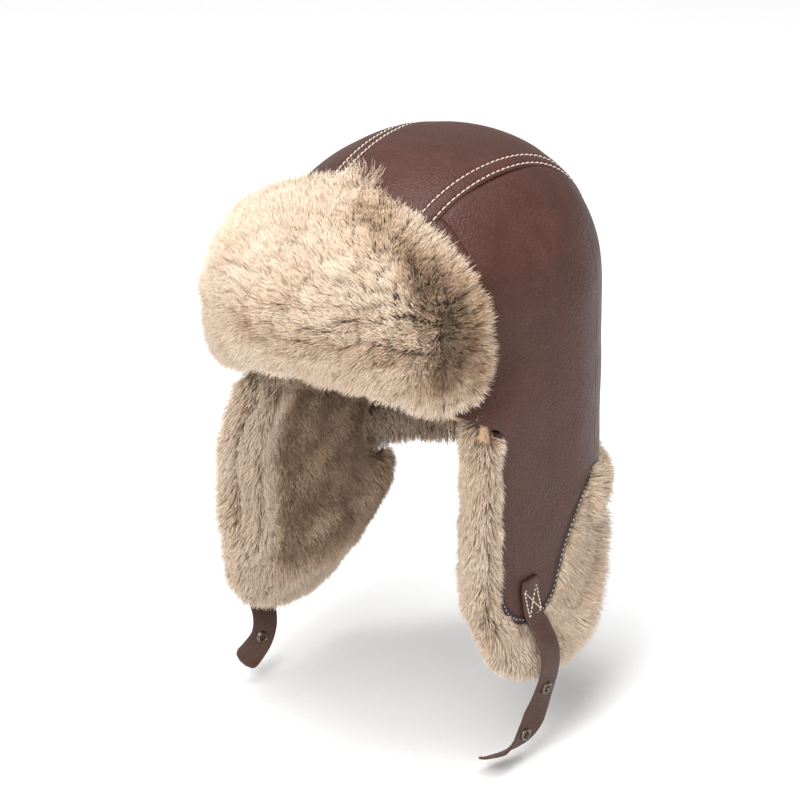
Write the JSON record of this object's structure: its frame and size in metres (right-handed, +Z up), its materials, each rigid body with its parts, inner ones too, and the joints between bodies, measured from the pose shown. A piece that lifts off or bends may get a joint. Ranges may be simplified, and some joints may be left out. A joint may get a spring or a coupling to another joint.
{
  "type": "trapper hat",
  "caption": "Brown leather trapper hat with a folded-up cream fur brim, fur-lined ear flaps that fold up, and chin straps with ring snaps.",
  "frame": {"origin": "centre of the head opening, at the level where the ear flaps fold", "axes": "+Z up to the top of the crown, -Y the way the wearer faces, +X the wearer's left"},
  "size_m": [0.2052, 0.239, 0.34],
  "materials": {
    "crown_leather": "pebbled, soft sheen",
    "strap_leather": "smooth, waxed",
    "binding": "matt suede tape",
    "fur": "long faux fur, cream tips and brown roots",
    "wadding": "soft polyester fleece",
    "stiffener": "stiff felt",
    "thread": "thick cream thread",
    "snap_metal": "dark antique plating"
  },
  "bodies": {
    "crown": {"crown_lining_centre": "fur", "crown_lining_left": "fur", "crown_lining_right": "fur", "crown_panel_centre": "crown_leather", "crown_panel_left": "crown_leather", "crown_panel_right": "crown_leather", "crown_seam_thread_left": "thread", "crown_seam_thread_right": "thread", "crown_wadding_centre": "wadding", "crown_wadding_left": "wadding", "crown_wadding_right": "wadding", "nape_binding": "binding"},
    "front_flap": {"front_flap_backing": "crown_leather", "front_flap_fur": "fur", "front_flap_stiffener": "stiffener"},
    "ear_flap_left": {"ear_flap_binding_left": "binding", "ear_flap_lining_left": "fur", "ear_flap_shell_left": "crown_leather", "ear_flap_wadding_left": "wadding", "snap_upper_cap_left": "snap_metal", "snap_upper_socket_left": "snap_metal", "strap_box_stitch_left": "thread", "strap_root_left": "strap_leather"},
    "ear_flap_right": {"ear_flap_binding_right": "binding", "ear_flap_lining_right": "fur", "ear_flap_shell_right": "crown_leather", "ear_flap_wadding_right": "wadding", "snap_upper_cap_right": "snap_metal", "snap_upper_socket_right": "snap_metal", "strap_box_stitch_right": "thread", "strap_root_right": "strap_leather"},
    "strap_left": {"strap_tail_left": "strap_leather", "snap_lower_cap_left": "snap_metal", "snap_lower_socket_left": "snap_metal"},
    "strap_right": {"strap_tail_right": "strap_leather", "snap_lower_cap_right": "snap_metal", "snap_lower_socket_right": "snap_metal"}
  },
  "joints": [
    {"name": "front_flap_fold", "type": "hinge", "parent": "crown", "child": "front_flap", "pos_m": [0, -0.102, 0.01], "axis": [1, 0, 0], "range_deg": [0, 95]},
    {"name": "ear_flap_left_fold", "type": "hinge", "parent": "crown", "child": "ear_flap_left", "pos_m": [0.0926, 0, 0], "axis": [0, -1, 0], "range_deg": [0, 160]},
    {"name": "ear_flap_right_fold", "type": "hinge", "parent": "crown", "child": "ear_flap_right", "pos_m": [-0.0926, 0, 0], "axis": [0, 1, 0], "range_deg": [0, 160]},
    {"name": "strap_left_swing", "type": "hinge", "parent": "ear_flap_left", "child": "strap_left", "pos_m": [0.0932, -0.024, -0.168], "axis": [0, -1, 0], "range_deg": [-90, 90]},
    {"name": "strap_right_swing", "type": "hinge", "parent": "ear_flap_right", "child": "strap_right", "pos_m": [-0.0932, -0.024, -0.168], "axis": [0, 1, 0], "range_deg": [-90, 90]}
  ]
}
